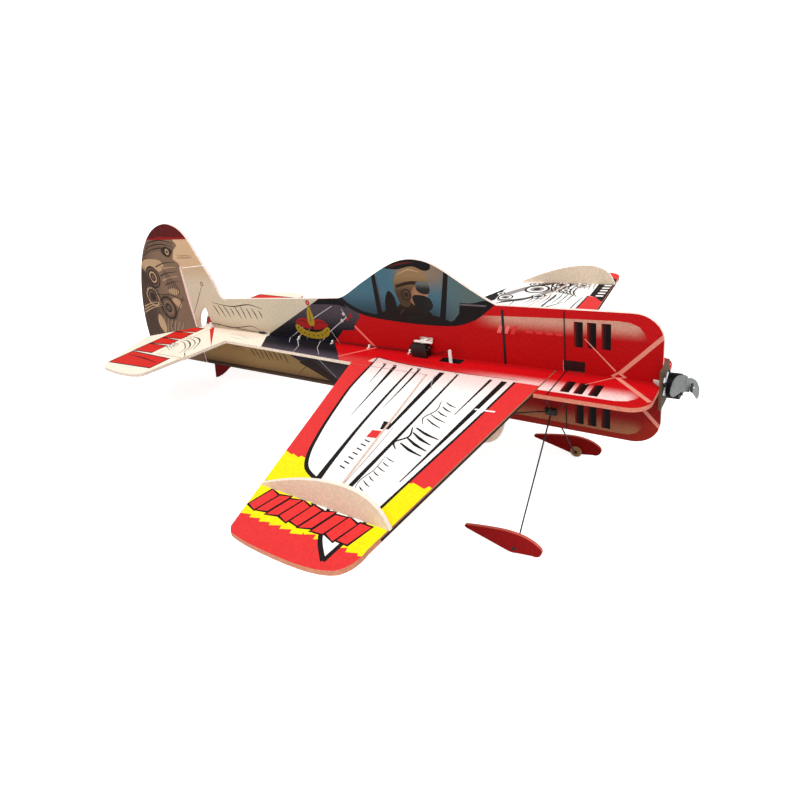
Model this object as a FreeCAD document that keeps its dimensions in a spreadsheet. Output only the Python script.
import FreeCAD, Part
import math
import os
from FreeCAD import Placement, Rotation, Vector

# Indoor aerobatic foam airplane, built from flat EPP plates, carbon rods and micro servos.
# Frame: millimetres, x aft from the nose face, y to starboard, z up, origin on the thrust line.

SIZES = {
    "foam_thick": 5.0,            # airframe plates
    "side_plate_thick": 4.0,      # side force plates
    "pant_thick": 4.0,            # wheel pants
    "skid_thick": 3.0,
    "half_span": 400.0,
    "nose_half_width": 68.0,
    "root_half_width": 48.0,      # where the wing panels are glued on
    "waist_half_width": 58.0,     # just behind the wing
    "stab_root_x": 672.0,
    "stab_root_half_width": 47.0,
    "horn_split_y": 130.0,        # elevator balance horn begins here
    "elevator_hinge_x": 757.0,
    "rudder_hinge_x": 808.0,
    "hinge_gap": 0.3,             # each side of a hinge line
    "deck_z": 80.0,               # top edge of the nose
    "keel_z": -77.0,              # bottom edge of the fuselage
    "lead_root_x": 112.0,         # wing leading edge at the centreline
    "lead_slope": 0.068,
    "trail_root_x": 404.0,        # wing trailing edge at the centreline
    "trail_slope": 0.347,
    "aileron_hinge_x": 269.4,     # aileron hinge line at the centreline
    "aileron_hinge_slope": 0.195,
    "aileron_inner_y": 62.0,
    "aileron_outer_y": 324.0,
    "upper_side_plate_y": 331.0,
    "upper_side_plate_rise": 31.0,
    "lower_side_plate_y": 131.0,
    "lower_side_plate_drop": 30.0,
    "lead_rod_radius": 0.9,
    "thin_rod_radius": 0.6,
    "spar_x": 177.0,
    "spar_width": 0.8,
    "spar_height": 3.0,
    "spar_half_length": 300.0,
    "gear_x": 121.0,
    "gear_z": -55.0,
    "leg_radius": 0.9,
    "wheel_x": 129.0,
    "wheel_y": 111.0,
    "wheel_z": -184.0,
    "wheel_radius": 8.0,
    "wheel_width": 3.0,
    "pant_y": 116.0,
    "motor_mount_thick": 2.5,
    "bell_radius": 14.0,
    "bell_length": 12.0,
    "bell_back_x": -5.5,
    "shaft_radius": 1.5,
    "prop_x": -23.0,
    "prop_radius": 100.0,
    "prop_angle": 27.0,           # blade direction at rest, up from starboard
    "servo_length": 22.5,
    "servo_width": 12.0,
    "servo_height": 19.5,
    "rudder_servo_x": 290.0,
    "rudder_servo_y": 11.4,
    "rudder_arm_reach": 18.0,
    "rudder_horn_reach": 12.0,
    "rudder_horn_z": 45.0,
    "elevator_servo_x": 250.0,
    "elevator_servo_y": -10.0,    # underside of the servo, which lies on its side
    "elevator_servo_z": -8.6,
    "elevator_arm_reach": 24.0,
    "elevator_horn_reach": 12.0,
    "aileron_servo_x": 176.0,
    "aileron_arm_reach": 15.0,
    "aileron_horn_reach": 17.0,
    "aileron_horn_y": 70.0,
    "pushrod_radius": 0.5,
    "guide_y": 4.6,               # elevator pushrod inside its guides
    "guide_z": 5.1,
}

doc = FreeCAD.newDocument("foam_airplane")
sheet = doc.addObject("Spreadsheet::Sheet", "Sizes")
for row, (alias, value) in enumerate(SIZES.items(), start=1):
    sheet.set("A%d" % row, alias.replace("_", " "))
    sheet.set("B%d" % row, str(value))
    sheet.setAlias("B%d" % row, alias)
doc.recompute()


def size(alias):
    """Value of one cell of the sheet."""
    return float(sheet.get(alias))


FOAM = size("foam_thick")
HALF_FOAM = FOAM / 2
GAP = size("hinge_gap")
KEEL_Z = size("keel_z")
DECK_Z = size("deck_z")
nodes = []                        # finished sub-parts, in the order they are written


def finish(obj, label):
    """Give a finished sub-part its label and list it for export."""
    obj.Label = label
    nodes.append(obj)
    return obj


def place(obj, base, rotation=None):
    obj.Placement = Placement(Vector(*base), rotation or Rotation())
    return obj


# ---------------------------------------------------------------- building blocks

def lead_x(y):
    return size("lead_root_x") + size("lead_slope") * abs(y)


def trail_x(y):
    return size("trail_root_x") - size("trail_slope") * abs(y)


def aileron_hinge_x(y):
    return size("aileron_hinge_x") - size("aileron_hinge_slope") * abs(y)


def arc_points(centre, radius, start, stop, count):
    """Points on a circle in plane coordinates, angles in degrees."""
    points = []
    for step in range(count + 1):
        angle = math.radians(start + (stop - start) * step / count)
        points.append((centre[0] + radius * math.cos(angle), centre[1] + radius * math.sin(angle)))
    return points


def add_outline(sketch, segments):
    """Closed outline: each segment is ('line', points) or ('curve', points) and starts
    where the one before ended."""
    last = segments[-1][1][-1]
    for kind, points in segments:
        chain = [last] + list(points)
        chain = chain[:1] + [b for a, b in zip(chain, chain[1:]) if a != b]
        vectors = [Vector(px, py, 0) for px, py in chain]
        if kind == "line":
            for a, b in zip(vectors, vectors[1:]):
                sketch.addGeometry(Part.LineSegment(a, b), False)
        else:
            curve = Part.BSplineCurve()
            curve.interpolate(vectors)
            sketch.addGeometry(curve, False)
        last = chain[-1]


def new_sketch(body, name, role, segments):
    sketch = body.newObject("Sketcher::SketchObject", name)
    plane = [f for f in body.Origin.OriginFeatures if f.Role == role][0]
    sketch.AttachmentSupport = [(plane, "")]
    sketch.MapMode = "FlatFace"
    add_outline(sketch, segments)
    return sketch


def plate(name, role, segments, thickness, windows=()):
    """Flat plate about its own mid-plane, with through windows."""
    body = doc.addObject("PartDesign::Body", name)
    sketch = new_sketch(body, name + "_outline", role, segments)
    pad = body.newObject("PartDesign::Pad", name + "_pad")
    pad.Profile = sketch
    pad.Midplane = True
    pad.setExpression("Length", "Sizes." + thickness)
    body.Tip = pad
    doc.recompute()
    for number, window in enumerate(windows):
        before = body.Shape.Volume
        cut_sketch = new_sketch(body, "%s_window_%d" % (name, number), role, window)
        pocket = body.newObject("PartDesign::Pocket", "%s_pocket_%d" % (name, number))
        pocket.Profile = cut_sketch
        pocket.Midplane = True
        pocket.setExpression("Length", "Sizes.%s * 2" % thickness)
        body.Tip = pocket
        doc.recompute()
        if body.Shape.Volume >= before:
            raise RuntimeError("window cut nothing in " + name)
    return body


def bevel(body, start, end):
    """Chamfer both edges of a plate that run along a hinge line."""
    feature = body.Tip
    names = []
    for index, edge in enumerate(feature.Shape.Edges, start=1):
        on_line = True
        for vertex in edge.Vertexes:
            offset = vertex.Point.sub(start).cross(end.sub(start).normalize()).Length
            on_line = on_line and offset < HALF_FOAM + 0.01
        if on_line and len(edge.Vertexes) == 2 and edge.Length > FOAM * 2:
            names.append("Edge%d" % index)
    chamfer = body.newObject("PartDesign::Chamfer", body.Name + "_bevel")
    chamfer.Base = (feature, names)
    chamfer.setExpression("Size", "Sizes.foam_thick / 2 - 0.1")
    body.Tip = chamfer
    doc.recompute()


def box(name, low, high):
    """Axis-aligned block between two corners."""
    obj = doc.addObject("Part::Box", name)
    obj.Length = high[0] - low[0]
    obj.Width = high[1] - low[1]
    obj.Height = high[2] - low[2]
    return place(obj, low)


def rod(name, start, end, radius):
    """Round rod between two points; the radius is a cell of the sheet or a number."""
    a = Vector(*start)
    along = Vector(*end).sub(a)
    obj = doc.addObject("Part::Cylinder", name)
    obj.Height = along.Length
    if isinstance(radius, str):
        obj.setExpression("Radius", "Sizes." + radius)
    else:
        obj.Radius = radius
    obj.Placement = Placement(a, Rotation(Vector(0, 0, 1), along))
    return obj


def ball(name, centre, radius, swell):
    """Corner of a bent wire; swell is how much fatter it is than the wire."""
    obj = doc.addObject("Part::Sphere", name)
    if isinstance(radius, str):
        obj.setExpression("Radius", "Sizes.%s * %s" % (radius, swell))
    else:
        obj.Radius = radius * swell
    return place(obj, centre)


def fuse(name, pieces):
    obj = doc.addObject("Part::MultiFuse", name)
    obj.Shapes = pieces
    obj.Refine = True
    return obj


def cut(name, base, tool):
    obj = doc.addObject("Part::Cut", name)
    obj.Base = base
    obj.Tool = tool
    return obj


def group(name, pieces):
    """Several separate solids that share one node."""
    obj = doc.addObject("Part::Compound", name)
    obj.Links = pieces
    return obj


def wire_run(name, points, radius, swell=1.12):
    """Bent wire through points, with ball corners."""
    pieces = []
    for number, (a, b) in enumerate(zip(points, points[1:])):
        pieces.append(rod("%s_run_%d" % (name, number), a, b, radius))
    for number, corner in enumerate(points[1:-1]):
        pieces.append(ball("%s_bend_%d" % (name, number), corner, radius, swell))
    return fuse(name, pieces)


def lapped_run(name, points, radius, lap):
    """Bent wire through points, made of straight runs that lap a little at each bend."""
    pieces = []
    last = len(points) - 2
    for number, (a, b) in enumerate(zip(points, points[1:])):
        start, end = Vector(*a), Vector(*b)
        along = (end - start).normalize()
        if number > 0:
            start = start - along * lap
        if number < last:
            end = end + along * lap
        pieces.append(rod("%s_run_%d" % (name, number), start, end, radius))
    return fuse(name, pieces)


def drill(name, base, pieces):
    """Cut several tools out of a piece."""
    return cut(name, base, fuse(name + "_tools", pieces) if len(pieces) > 1 else pieces[0])


# ---------------------------------------------------------------- foam plates

def fuselage_slot_tools(name):
    """Slots of the spar and of the two leading edge rods."""
    half = size("spar_half_length") + 0.5
    x = size("spar_x")
    tools = [box(name + "_spar_slot", (x - 0.45, -half, -1.55), (x + 0.45, half, 1.55))]
    for side in (-1, 1):
        reach = size("root_half_width") * 1.05
        groove = box("%s_groove_%d" % (name, side + 1), (-0.95, 0, -0.95), (0.95, reach, 3))
        angle = math.degrees(math.atan(size("lead_slope")))
        turn = Rotation(Vector(0, 0, 1), -angle if side > 0 else 180 + angle)
        start = Vector(size("lead_root_x") + size("lead_rod_radius"), 0, 0)
        groove.Placement = Placement(start, turn).multiply(groove.Placement)
        tools.append(groove)
    return tools


def build_horizontal_fuselage():
    corner = 22.0
    width = size("nose_half_width")
    root = size("root_half_width")
    hinge = size("elevator_hinge_x") - GAP
    split = size("horn_split_y") - 1.0
    waist_x = trail_x(size("waist_half_width"))
    half = arc_points((corner, width - corner), corner, 180, 90, 8)
    half += [(lead_x(width), width), (lead_x(root), root), (trail_x(root), root)]
    half += [(waist_x + 1, size("waist_half_width")), (size("stab_root_x"), size("stab_root_half_width"))]
    half += [(687.0, split), (hinge, split)]
    port = [(px, -py) for px, py in reversed(half)]
    slot = [("line", [(264, 6.5), (264, 20), (232, 20), (232, 6.5)])]
    body = plate("horizontal_blank", "XY_Plane", [("line", half + port)], "foam_thick", [slot])
    finish(drill("horizontal_fuselage", body, fuselage_slot_tools("horizontal")), "horizontal_fuselage")


def cutout_points(side):
    """Sector that lets the elevator joiner swing, from the hinge line outwards."""
    hinge = size("elevator_hinge_x")
    points = arc_points((hinge, 0), 42.0, 5, 78, 10)
    return [(px, side * pz) for px, pz in points]


def build_upper_fuselage():
    corner = 30.0
    post = size("rudder_hinge_x") - GAP
    hinge = size("elevator_hinge_x")
    nose = arc_points((corner, DECK_Z - corner), corner, 180, 90, 8)
    canopy = [(202, 89), (225, 103), (250, 119.5), (275, 132.5), (300, 137), (325, 133.5),
              (350, 123), (375, 109.5), (400, 95), (420, 83), (436, 76.5)]
    fin_edge = [(712, 64.5), (724, 90), (737, 114.5), (741, 121.5)]
    opening = cutout_points(1)
    outline = [
        ("line", [(0, HALF_FOAM)] + nose + [(185, DECK_Z)]),
        ("curve", canopy),
        ("line", [(475, 74), (704, 61.5)]),
        ("curve", fin_edge),
        ("line", [(post, 116), (post, -HALF_FOAM), (799.5, -HALF_FOAM), opening[0]]),
        ("curve", opening[1:]),
        ("line", [(hinge - 1.0, HALF_FOAM)]),
    ]
    esc_slot = [("line", [(80, HALF_FOAM), (105, HALF_FOAM), (105, 17), (80, 17)])]
    arm_slot = [("line", [(280, 23.2), (300, 23.2), (300, 27.9), (280, 27.9)])]
    body = plate("upper_fuselage", "XZ_Plane", outline, "foam_thick", [esc_slot, arm_slot])
    finish(body, "upper_fuselage")


def build_lower_fuselage():
    corner = 30.0
    post = size("rudder_hinge_x") - GAP
    hinge = size("elevator_hinge_x")
    nose = arc_points((corner, KEEL_Z + corner), corner, 180, 270, 8)
    opening = cutout_points(-1)
    outline = [
        ("line", [(0, -HALF_FOAM)] + nose),
        ("line", [(post, KEEL_Z), (post, -HALF_FOAM), (799.5, -HALF_FOAM), opening[0]]),
        ("curve", opening[1:]),
        ("line", [(hinge - 1.0, -HALF_FOAM)]),
    ]
    elevator_bay = [("line", [(243.8, -HALF_FOAM), (267, -HALF_FOAM), (267, -14.8), (243.8, -14.8)])]
    aileron_bay = [("line", [(164, -HALF_FOAM), (200, -HALF_FOAM), (200, -30), (164, -30)])]
    bracket_hole = [("line", [(114, -59), (128, -59), (128, -51), (114, -51)])]
    body = plate("lower_fuselage", "XZ_Plane", outline, "foam_thick",
                 [elevator_bay, aileron_bay, bracket_hole])
    finish(body, "lower_fuselage")


def build_wing(side, label):
    root = size("root_half_width")
    inner = size("aileron_inner_y") - 1.0
    outer = size("aileron_outer_y") + 1.5
    back = 2 * size("lead_rod_radius") + 0.02
    tip = size("half_span")
    outline = [
        ("line", [(lead_x(root) + back, root), (lead_x(360) + back, 360)]),
        ("curve", [(139.5, 376), (146, 388), (160, 395), (185, 399), (215, tip), (245, 399), (262, 396.5)]),
        ("line", [(268, 391), (trail_x(outer), outer), (aileron_hinge_x(outer) - GAP, outer),
                  (aileron_hinge_x(inner) - GAP, inner), (trail_x(inner), inner), (trail_x(root), root)]),
    ]
    mirrored_outline = [(kind, [(px, side * py) for px, py in chain]) for kind, chain in outline]
    blank = plate(label + "_blank", "XY_Plane", mirrored_outline, "foam_thick")
    half = size("spar_half_length") + 0.5
    x = size("spar_x")
    slot = box(label + "_spar_slot", (x - 0.45, -half, -1.55), (x + 0.45, half, 1.55))
    finish(cut(label, blank, slot), label)


def build_aileron(side, label):
    inner = size("aileron_inner_y")
    outer = size("aileron_outer_y")
    corners = [(aileron_hinge_x(inner) + GAP, inner), (aileron_hinge_x(outer) + GAP, outer),
               (trail_x(outer), outer), (trail_x(inner), inner)]
    corners = [(px, side * py) for px, py in corners]
    body = plate(label, "XY_Plane", [("line", corners)], "foam_thick")
    bevel(body, Vector(corners[0][0], corners[0][1], 0), Vector(corners[1][0], corners[1][1], 0))
    finish(body, label)


def build_elevator():
    hinge = size("elevator_hinge_x") + GAP
    split = size("horn_split_y") + 1.0
    half = [
        ("line", [(hinge, split), (689.5, split), (702, 190)]),
        ("curve", [(706, 198.5), (716, 203.5), (740, 207), (765, 207.5),
                   (795, 205), (813, 201.5), (820, 196)]),
        ("line", [(824, 192), (868, 80)]),
        ("curve", [(868.5, 76.5), (866, 73)]),
        ("line", [(793, 8), (790, 6)]),
    ]
    port = [("line", [(790, -6), (793, -8), (866, -73)]),
            ("curve", [(868.5, -76.5), (868, -80)]),
            ("line", [(824, -192), (820, -196)]),
            ("curve", [(813, -201.5), (795, -205), (765, -207.5), (740, -207), (716, -203.5), (706, -198.5),
                       (702, -190)]),
            ("line", [(689.5, -split), (hinge, -split)])]
    body = plate("elevator", "XY_Plane", half + port, "foam_thick")
    bevel(body, Vector(hinge, -split, 0), Vector(hinge, split, 0))
    finish(body, "elevator")


def build_rudder():
    hinge = size("rudder_hinge_x") + GAP
    outline = [
        ("line", [(hinge, 117.5), (742, 123)]),
        ("curve", [(750, 137), (761, 158), (770, 173.5), (788, 190.5), (808, 198), (826, 200), (850, 196),
                   (876, 185), (900, 167.5), (925, 140), (950, 100), (970, 56), (984, 8), (989, -30),
                   (985, -58), (973, -72), (958, KEEL_Z)]),
        ("line", [(hinge, KEEL_Z)]),
    ]
    body = plate("rudder", "XZ_Plane", outline, "foam_thick")
    bevel(body, Vector(hinge, 0, KEEL_Z), Vector(hinge, 0, 117.5))
    finish(body, "rudder")


def dome_outline(front, back, base, rise):
    """Side plate: steep nose, crown near one quarter, long taper; rise is signed."""
    length = back - front
    shape = [(0.02, 0.26), (0.065, 0.62), (0.14, 0.87), (0.26, 1.0), (0.42, 0.95), (0.62, 0.74), (0.82, 0.41)]
    crown = [(front + length * a, base + rise * b) for a, b in shape]
    return [("curve", crown + [(back - 1.0, base + rise * 0.07)]), ("line", [(back, base), (front, base)])]


def build_side_plates():
    y = size("upper_side_plate_y")
    drop_y = size("lower_side_plate_y")
    front = lead_x(y)
    upper = dome_outline(front, trail_x(y) - 1, HALF_FOAM, size("upper_side_plate_rise"))
    lower_front = lead_x(drop_y) + 2
    lower_back = aileron_hinge_x(drop_y) - 4
    lower = dome_outline(lower_front, lower_back, -HALF_FOAM, -size("lower_side_plate_drop"))
    for side, word in ((1, "right"), (-1, "left")):
        for level, outline in (("upper", upper), ("lower", lower)):
            label = "%s_%s_side_plate" % (word, level)
            body = plate(label, "XZ_Plane", outline, "side_plate_thick")
            body.setExpression("Placement.Base.y", "Sizes.%s_side_plate_y * %d" % (level, side))
            finish(body, label)


def build_tail_skid():
    outline = [
        ("line", [(738, KEEL_Z), (787, KEEL_Z), (794, -106)]),
        ("curve", [(793.5, -108), (791, -107.5)]),
        ("curve", [(776, -101.5), (756, -89), (738, KEEL_Z)]),
    ]
    finish(plate("tail_skid", "XZ_Plane", outline, "skid_thick"), "tail_skid")


# ---------------------------------------------------------------- carbon

def build_carbon():
    radius = size("lead_rod_radius")
    x0 = size("lead_root_x") + radius
    for side, word in ((1, "right"), (-1, "left")):
        end_y = size("upper_side_plate_y") + 12
        start = (x0 + size("lead_slope") * 2, side * 2.0, 0)
        end = (x0 + size("lead_slope") * end_y, side * end_y, 0)
        label = word + "_leading_edge_rod"
        finish(rod(label, start, end, "lead_rod_radius"), label)
    x = size("spar_x")
    half = size("spar_half_length")
    spar = box("wing_spar", (x - 0.4, -half, -1.5), (x + 0.4, half, 1.5))
    spar.setExpression("Length", "Sizes.spar_width")
    spar.setExpression("Height", "Sizes.spar_height")
    finish(spar, "wing_spar")
    thin = size("thin_rod_radius")
    face = HALF_FOAM + thin + 0.02
    finish(rod("nose_cross_rod", (101.6, -66, face), (101.6, 66, face), "thin_rod_radius"), "nose_cross_rod")
    upper = rod("upper_nose_rod", (102.5, face, 17.5), (102.5, face, 78.5), "thin_rod_radius")
    lower = rod("lower_nose_rod", (102.5, face, -75.5), (102.5, face, -4.0), "thin_rod_radius")
    finish(group("vertical_nose_rods", [upper, lower]), "vertical_nose_rods")
    strip = box("upper_spar_strip", (175.6, HALF_FOAM, 2.6), (178.4, HALF_FOAM + 0.8, 74.5))
    finish(strip, "upper_spar_strip")


# ---------------------------------------------------------------- landing gear

def gear_anchor(side):
    return (size("gear_x"), side * 5.5, size("gear_z"))


def leg_run(side, wheel):
    """Slanted part of one leg, from the bracket to the bend at the axle."""
    return [(size("gear_x"), side * 3.2, size("gear_z") - 2.0), (wheel[0], side * 106.0, wheel[2])]


def brace_runs(side):
    """Start and end of the three braces of one side."""
    x, y, z = gear_anchor(side)
    under = -HALF_FOAM - 0.7
    return [((x - 1.5, y, z + 1.5), (105.0, side * 62.0, under)),
            ((x + 3.0, y, z + 1.0), (154.0, side * 124.0, under)),
            ((x - 4.5, y, z), (80.0, side * 63.0, under))]


def build_gear():
    x, z = size("gear_x"), size("gear_z")
    wheel = (size("wheel_x"), size("wheel_y"), size("wheel_z"))
    outer = size("pant_y") + size("pant_thick") / 2 + 0.6
    for side, word in ((1, "right"), (-1, "left")):
        points = leg_run(side, wheel) + [(wheel[0], side * outer, wheel[2])]
        finish(wire_run(word + "_gear_leg", points, "leg_radius"), word + "_gear_leg")
    block = box("bracket_block", (x - 7, -6, z - 4), (x + 7, 6, z + 4))
    tools = []
    braces = []
    for side in (1, -1):
        start, end = leg_run(side, wheel)
        tools.append(rod("leg_bore_%d" % side, start, end, size("leg_radius") + 0.03))
        for number, (start, end) in enumerate(brace_runs(side)):
            radius = 0.75 if number < 2 else 0.5
            braces.append(rod("brace_%d_%d" % (side, number), start, end, radius))
            tools.append(rod("brace_bore_%d_%d" % (side, number), start, end, radius + 0.03))
    finish(drill("gear_bracket", block, tools), "gear_bracket")
    finish(group("gear_braces", braces), "gear_braces")
    build_wheels(wheel)


def pant_outline():
    """Teardrop with its nose forward and a small bulge under the axle."""
    return [
        ("curve", [(97, -171.5), (107, -165), (122, -161.3), (136, -161),
                   (152, -163), (172, -166.7), (190, -170.6)]),
        ("curve", [(192.6, -172.4), (191, -175.2)]),
        ("line", [(140, -189.5)]),
        ("curve", [(134, -190.8), (126, -189.6)]),
        ("line", [(106, -186.3)]),
        ("curve", [(97.5, -183.5), (94.8, -177.5), (97, -171.5)]),
    ]


def axle_rod(name, wheel, near, far, radius):
    """Round piece on an axle, between two distances from the fuselage's mid-plane."""
    return rod(name, (wheel[0], near, wheel[2]), (wheel[0], far, wheel[2]), radius)


def build_wheels(wheel):
    half = size("wheel_width") / 2
    wire = size("leg_radius")
    collars = []
    for side, word in ((1, "right"), (-1, "left")):
        inner, outer = side * (wheel[1] - half), side * (wheel[1] + half)
        disc = axle_rod(word + "_wheel_disc", wheel, inner, outer, "wheel_radius")
        bore = axle_rod(word + "_wheel_bore", wheel, side * 100, side * 120, wire + 0.07)
        finish(cut(word + "_wheel", disc, bore), word + "_wheel")
        edge = inner - side * 0.15
        ring = axle_rod(word + "_collar_ring", wheel, edge - side * 1.4, edge, 2.2)
        hole = axle_rod(word + "_collar_hole", wheel, side * 100, side * 120, wire + 0.02)
        collars.append(cut(word + "_collar", ring, hole))
        label = word + "_wheel_pant"
        body = plate(label + "_blank", "XZ_Plane", pant_outline(), "pant_thick")
        body.setExpression("Placement.Base.y", "Sizes.pant_y * %d" % side)
        pin = axle_rod(label + "_hole", wheel, side * 100, side * 125, wire + 0.02)
        finish(cut(label, body, pin), label)
    finish(group("wheel_collars", collars), "wheel_collars")


# ---------------------------------------------------------------- motor and propeller

def ring_of(name, count, maker, phase=0.0):
    """The same piece repeated around the thrust line."""
    pieces = []
    for number in range(count):
        piece = maker("%s_%d" % (name, number))
        turn = Rotation(Vector(1, 0, 0), phase + 360.0 * number / count)
        piece.Placement = Placement(Vector(), turn).multiply(piece.Placement)
        pieces.append(piece)
    return pieces


def build_motor():
    thick = size("motor_mount_thick")
    back = size("bell_back_x")
    length = size("bell_length")
    shaft = size("shaft_radius")
    mount = box("mount_plate", (-thick, -18, -23), (0, 18, 23))
    mount_holes = ring_of("mount_hole", 4, lambda n: rod(n, (-6, 0, 11), (3, 0, 11), 1.05), 45)
    relief = rod("mount_relief", (-6, 0, 0), (3, 0, 0), 3.4)
    finish(drill("motor_mount", mount, mount_holes + [relief]), "motor_mount")
    gussets = []
    for side_y in (1, -1):
        for side_z in (1, -1):
            wedge = doc.addObject("Part::Wedge", "gusset_%d_%d" % (side_y + 1, side_z + 1))
            wedge.Xmin, wedge.Xmax, wedge.X2min, wedge.X2max = 0, 9, 0, 1.5
            wedge.Ymin, wedge.Ymax, wedge.Zmin, wedge.Zmax, wedge.Z2min, wedge.Z2max = 0, 9, 0, 3, 0, 3
            turn = Rotation(Vector(1, 0, 0), 0 if side_y > 0 else 180)
            low = HALF_FOAM if side_z > 0 else -HALF_FOAM - 3
            base = (0, side_y * HALF_FOAM, low if side_y > 0 else low + 3)
            gussets.append(place(wedge, base, turn))
    finish(group("mount_gussets", gussets), "mount_gussets")

    plate_front = -thick - 1.5
    spider_arms = [box("spider_arm_%d" % n, (plate_front, -3, -13.5), (-thick, 3, 13.5)) for n in (0, 1)]
    for number, arm in enumerate(spider_arms):
        turn = Rotation(Vector(1, 0, 0), 45 + 90 * number)
        arm.Placement = Placement(Vector(), turn).multiply(arm.Placement)
    tube = rod("bearing_tube", (-thick, 0, 0), (back - length + 1.6, 0, 0), 4.0)
    teeth = ring_of("tooth", 9, lambda n: box(n, (back - 8.5, -1.2, 3.5), (back - 1.5, 1.2, 11.6)))
    core = fuse("stator_core", spider_arms + [tube] + teeth)
    holes = ring_of("spider_hole", 4, lambda n: rod(n, (-6, 0, 11), (3, 0, 11), 1.05), 45)
    bore = rod("stator_bore", (3, 0, 0), (-30, 0, 0), shaft + 0.06)
    finish(drill("stator", core, holes + [bore]), "stator")

    def coil(name):
        outer = box(name + "_outer", (back - 9.6, -1.8, 5.2), (back - 0.4, 1.8, 10.4))
        inner = box(name + "_inner", (back - 8.55, -1.25, 5.0), (back - 1.45, 1.25, 10.6))
        return cut(name, outer, inner)
    finish(group("stator_coils", ring_of("coil", 9, coil)), "stator_coils")

    front = back - length
    can = rod("bell_can", (back, 0, 0), (front, 0, 0), "bell_radius")
    hollow = rod("bell_hollow", (back + 1, 0, 0), (front + 1.2, 0, 0), size("bell_radius") - 1.6)
    vents = ring_of("bell_vent", 6, lambda n: rod(n, (front - 1, 0, 8.2), (front + 2, 0, 8.2), 2.6))
    hub = rod("bell_hub", (front + 1.3, 0, 0), (front - 1.0, 0, 0), 3.2)
    shell = drill("bell_shell", can, [hollow] + vents)
    bell_bore = rod("bell_bore", (3, 0, 0), (-30, 0, 0), shaft)
    finish(cut("motor_bell", fuse("bell_body", [shell, hub]), bell_bore), "motor_bell")
    finish(rod("motor_shaft", (-1.0, 0, 0), (size("prop_x") - 7, 0, 0), "shaft_radius"), "motor_shaft")

    top = plate_front - 1.2
    heads = ring_of("screw_head", 4, lambda n: rod(n, (plate_front, 0, 11), (top, 0, 11), 1.9), 45)
    shanks = ring_of("screw_shank", 4, lambda n: rod(n, (plate_front, 0, 11), (-0.1, 0, 11), 0.98), 45)
    screws = [fuse("mount_screw_%d" % n, [head, shank]) for n, (head, shank) in enumerate(zip(heads, shanks))]
    finish(group("mount_screws", screws), "mount_screws")


def blade_section(radius, chord, pitch, thick):
    """Closed blade profile at one radius, facing forward along -x, spun about the x axis."""
    outline = [(-0.5, 0.0), (-0.42, 0.5), (-0.25, 0.88), (0.0, 1.0), (0.25, 0.72), (0.42, 0.34),
               (0.5, 0.0), (0.25, -0.04), (0.0, 0.02), (-0.3, 0.0)]
    points = []
    c, s = math.cos(math.radians(pitch)), math.sin(math.radians(pitch))
    for along, up in outline:
        a, b = along * chord, up * thick
        points.append(Vector(-(a * s + b * c), radius, a * c - b * s))
    return Part.makePolygon(points + points[:1])


def build_propeller():
    """Two lofted blades need twisted sections that no primitive gives."""
    tip = size("prop_radius")
    # radius, chord and thickness as shares of the tip radius, pitch in degrees
    stations = [(0.045, 0.085, 38, 0.034), (0.16, 0.125, 33, 0.024), (0.34, 0.21, 25, 0.020),
                (0.55, 0.245, 18, 0.016), (0.76, 0.215, 14, 0.012), (0.92, 0.15, 11.5, 0.009),
                (0.99, 0.06, 10.5, 0.006)]
    sections = [blade_section(r * tip, c * tip, p, t * tip) for r, c, p, t in stations]
    blade = Part.makeLoft(sections, True, False)
    other = blade.copy()
    other.rotate(Vector(0, 0, 0), Vector(1, 0, 0), 180)
    hub = Part.makeCylinder(5.0, 5.0, Vector(2.5, 0, 0), Vector(-1, 0, 0))
    bore = Part.makeCylinder(3.1, 20, Vector(10, 0, 0), Vector(-1, 0, 0))
    shape = hub.fuse([blade, other]).removeSplitter().cut(bore)
    shape.rotate(Vector(0, 0, 0), Vector(1, 0, 0), size("prop_angle"))
    propeller = doc.addObject("Part::Feature", "propeller")
    propeller.Shape = shape.Solids[0]
    propeller.setExpression("Placement.Base.x", "Sizes.prop_x")
    finish(propeller, "propeller")

    x = size("prop_x")
    angle = size("prop_angle")
    flange = rod("saver_flange", (x + 4.4, 0, 0), (x + 2.6, 0, 0), 6.5)
    barrel = rod("saver_barrel", (x + 2.6, 0, 0), (x - 4.5, 0, 0), 3.0)
    pins = ring_of("saver_pin", 2, lambda n: rod(n, (x + 3.5, 0, 5.5), (x + 3.5, 0, 9.5), 0.9), angle)
    shaft_hole = rod("saver_bore", (3, 0, 0), (-60, 0, 0), size("shaft_radius"))
    saver = fuse("saver_body", [flange, barrel] + pins)
    finish(cut("prop_saver", saver, shaft_hole), "prop_saver")
    ring = doc.addObject("Part::Torus", "prop_ring")
    ring.Radius1 = 4.3
    ring.Radius2 = 0.9
    place(ring, (x - 4.4, 0, 0), Rotation(Vector(0, 1, 0), 90))
    finish(ring, "prop_ring")


# ---------------------------------------------------------------- electronics

def servo_shapes(name):
    """Micro servo standing on z=0 with its shaft on the z axis; length runs aft."""
    length, width, height = size("servo_length"), size("servo_width"), size("servo_height")
    front = -6.0
    case = box(name + "_case", (front, -width / 2, 0), (front + length, width / 2, height))
    tabs = box(name + "_tabs", (front - 4.8, -width / 2, 12.5), (front + length + 4.8, width / 2, 14.3))
    boss = rod(name + "_boss", (0, 0, height), (0, 0, height + 1.7), 5.0)
    spline = rod(name + "_spline", (0, 0, height + 1.6), (0, 0, height + 3.0), 2.0)
    holes = [rod("%s_tab_hole_%d" % (name, n), (x, 0, 11), (x, 0, 16), 1.0)
             for n, x in enumerate((front - 2.5, front + length + 2.5))]
    return drill(name, fuse(name + "_body", [case, tabs, boss, spline]), holes)


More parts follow.
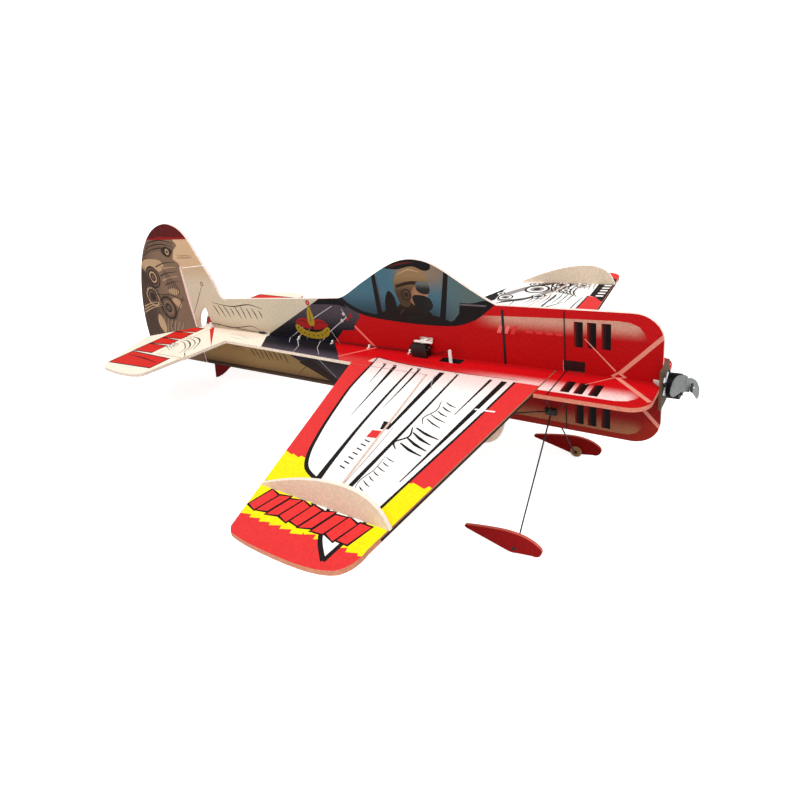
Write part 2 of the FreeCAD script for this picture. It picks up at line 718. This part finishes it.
def arm_shape(name, reaches):
    """Servo arm in the xy plane above the boss; reaches holds (angle, hole radius)."""
    low = size("servo_height") + 1.9
    high = low + 2.0
    pieces = [rod(name + "_hub", (0, 0, low), (0, 0, high + 0.8), 3.4)]
    tools = [rod(name + "_socket", (0, 0, low - 1), (0, 0, low + 1.2), 2.06),
             rod(name + "_screw", (0, 0, low), (0, 0, high + 2), 1.0)]
    for number, (angle, reach) in enumerate(reaches):
        turn = Rotation(Vector(0, 0, 1), angle)
        blade = box("%s_blade_%d" % (name, number), (0, -2.2, low), (reach, 2.2, high - 0.4))
        blade.Placement = Placement(Vector(), turn).multiply(blade.Placement)
        end = turn.multVec(Vector(reach, 0, 0))
        pieces.append(blade)
        pieces.append(rod("%s_end_%d" % (name, number), (end.x, end.y, low), (end.x, end.y, high - 0.4), 2.2))
        hole = rod("%s_hole_%d" % (name, number), (end.x, end.y, low - 1), (end.x, end.y, high + 1), 0.6)
        tools.append(hole)
    return drill(name, fuse(name + "_body", pieces), tools)


def build_servos():
    upright = Placement(Vector(size("rudder_servo_x"), size("rudder_servo_y"), HALF_FOAM), Rotation())
    belly = Placement(Vector(size("aileron_servo_x"), 0, -HALF_FOAM), Rotation(Vector(1, 0, 0), 180))
    lying_turn = Rotation(Vector(1, 0, 0), -90)
    lying_base = Vector(size("elevator_servo_x"), size("elevator_servo_y"), size("elevator_servo_z"))
    lying = Placement(lying_base, lying_turn)
    reach = {"rudder": [(0, 12.3), (180, 12.3), (-90, size("rudder_arm_reach"))],
             "elevator": [(-90, size("elevator_arm_reach"))],
             "aileron": [(90, size("aileron_arm_reach")), (-90, size("aileron_arm_reach"))]}
    for word, where in (("rudder", upright), ("elevator", lying), ("aileron", belly)):
        servo = servo_shapes(word + "_servo")
        servo.Placement = where
        finish(servo, word + "_servo")
        arm = arm_shape(word + "_servo_arm", reach[word])
        arm.Placement = where
        finish(arm, word + "_servo_arm")


def build_power():
    finish(box("esc", (81, -4.0, 4.4), (104.5, 1.6, 16.6)), "esc")
    finish(box("battery", (30, -15.5, -46), (84, -HALF_FOAM, -22)), "battery")
    strap_outer = box("strap_outer", (50, -16.7, -47.2), (62, -HALF_FOAM, -20.8))
    strap_inner = box("strap_inner", (49, -15.6, -46.1), (63, 0, -21.9))
    finish(cut("battery_strap", strap_outer, strap_inner), "battery_strap")
    finish(box("receiver", (206, -11, 6), (230, -HALF_FOAM, 21)), "receiver")
    leads = []
    front, side = -3.2, -19.3     # in front of the mount plate, then round its port edge
    for number in range(3):
        z = 8.0 + 2.6 * number
        step = 2.0 * number
        points = [(front, -7.5, step - 2.0), (front, -13.5, step - 2.0), (front, side, step + 4.5),
                  (4, side, step + 6.5), (40, -6.0, z), (80.9, -3.2, z)]
        leads.append(lapped_run("motor_lead_%d" % number, points, 0.6, 0.35))
    finish(group("motor_leads", leads), "motor_leads")


# ---------------------------------------------------------------- horns and pushrods

def aileron_turn(side):
    """Sweep of the aileron hinge line, seen from above."""
    return Rotation(Vector(0, 0, 1), side * math.degrees(math.atan(size("aileron_hinge_slope"))))


def horn_plate(label, role, base, offset, turn=None):
    """Thin control horn, drawn in its own plane and moved into place."""
    body = doc.addObject("PartDesign::Body", label + "_blank")
    sketch = new_sketch(body, label + "_outline", role, [("line", base)])
    pad = body.newObject("PartDesign::Pad", label + "_pad")
    pad.Profile = sketch
    pad.Midplane = True
    pad.Length = 1.2
    body.Tip = pad
    body.Placement = Placement(Vector(*offset), turn or Rotation())
    return body


def build_horns():
    hinge = size("elevator_hinge_x")
    reach = size("elevator_horn_reach")
    base = [(759.5, HALF_FOAM), (769, HALF_FOAM), (759.5, reach + 1.8), (755.6, reach + 1.8),
            (755.6, reach - 1.8)]
    blank = horn_plate("elevator_horn", "XZ_Plane", base, (0, 6.0, 0))
    hole = rod("elevator_horn_hole", (hinge, 0, reach), (hinge, 12, reach), 0.6)
    finish(cut("elevator_horn", blank, hole), "elevator_horn")

    post = size("rudder_hinge_x")
    arm = size("rudder_horn_reach")
    level = size("rudder_horn_z")
    base = [(812.5, -HALF_FOAM), (822, -HALF_FOAM), (811, -arm - 1.8), (806, -arm - 1.8), (806, -arm + 2.0)]
    blank = horn_plate("rudder_horn", "XY_Plane", base, (0, 0, level))
    hole = rod("rudder_horn_hole", (post, -arm, level - 3), (post, -arm, level + 3), 0.6)
    finish(cut("rudder_horn", blank, hole), "rudder_horn")

    y = size("aileron_horn_y")
    x = aileron_hinge_x(y)
    drop = size("aileron_horn_reach")
    for side, word in ((1, "right"), (-1, "left")):
        base = [(4.5, -HALF_FOAM), (14, -HALF_FOAM), (2.5, -drop - 1.8), (-2, -drop - 1.8), (-2, -drop + 2)]
        label = word + "_aileron_horn"
        turn = aileron_turn(side)
        blank = horn_plate(label, "XZ_Plane", base, (x, side * y, 0), turn)
        reach = turn.multVec(Vector(0, 4, 0))
        hole = rod(label + "_hole", (x - reach.x, side * y - reach.y, -drop), (x + reach.x, side * y + reach.y, -drop),
                   0.6)
        finish(cut(label, blank, hole), label)


def build_pushrods():
    radius = "pushrod_radius"
    x = size("elevator_servo_x")
    top = size("elevator_servo_z") + size("elevator_arm_reach")
    hinge = size("elevator_hinge_x")
    lane, level = size("guide_y"), size("guide_z")
    points = [(x, 10.7, top), (276, lane, level), (640, lane, level), (hinge, lane, size("elevator_horn_reach"))]
    run = wire_run("elevator_pushrod_wire", points, radius, 1.0)
    sleeve = rod("elevator_pushrod_sleeve", (615, lane, level), (628, lane, level), 1.6)
    finish(fuse("elevator_pushrod", [run, sleeve]), "elevator_pushrod")

    arm_top = HALF_FOAM + size("servo_height") + 1.9 + 1.6
    start = (size("rudder_servo_x"), size("rudder_servo_y") - size("rudder_arm_reach"), arm_top + 0.8)
    end = (size("rudder_hinge_x"), -size("rudder_horn_reach"), size("rudder_horn_z") + 1.4)
    finish(rod("rudder_pushrod", start, end, radius), "rudder_pushrod")

    y = size("aileron_horn_y")
    arm_level = -HALF_FOAM - size("servo_height") - 1.9 - 1.6 - 0.8
    for side, word in ((1, "right"), (-1, "left")):
        start = (size("aileron_servo_x"), side * size("aileron_arm_reach"), arm_level)
        beside = aileron_turn(side).multVec(Vector(0, -side * 1.4, 0))
        end = (aileron_hinge_x(y) + beside.x, side * y + beside.y, -size("aileron_horn_reach"))
        label = word + "_aileron_pushrod"
        finish(rod(label, start, end, radius), label)


def build_guides():
    guides = []
    y, z = size("guide_y"), size("guide_z")
    for number in range(5):
        x = 318.0 + 71.5 * number
        ring = rod("guide_ring_%d" % number, (x - 1.2, y, z), (x + 1.2, y, z), 1.9)
        foot = box("guide_foot_%d" % number, (x - 1.2, y, HALF_FOAM), (x + 1.2, 10.5, 3.6))
        eye = rod("guide_eye_%d" % number, (x - 3, y, z), (x + 3, y, z), 1.2)
        guides.append(cut("guide_%d" % number, fuse("guide_body_%d" % number, [ring, foot]), eye))
    finish(group("pushrod_guides", guides), "pushrod_guides")


def check_and_write():
    doc.recompute()
    for obj in doc.Objects:
        if "Invalid" in obj.State or "Error" in obj.State:
            raise RuntimeError("%s is in state %s" % (obj.Label, obj.State))
    os.makedirs("parts", exist_ok=True)
    for obj in nodes:
        if obj.Shape.isNull() or not obj.Shape.isValid():
            raise RuntimeError("bad shape: " + obj.Label)
        obj.Shape.exportStep("parts/%s.step" % obj.Label)


build_horizontal_fuselage()
build_upper_fuselage()
build_lower_fuselage()
build_wing(1, "right_wing")
build_wing(-1, "left_wing")
build_aileron(1, "right_aileron")
build_aileron(-1, "left_aileron")
build_elevator()
build_rudder()
build_side_plates()
build_tail_skid()
build_carbon()
build_gear()
build_motor()
build_propeller()
build_servos()
build_power()
build_horns()
build_pushrods()
build_guides()
check_and_write()
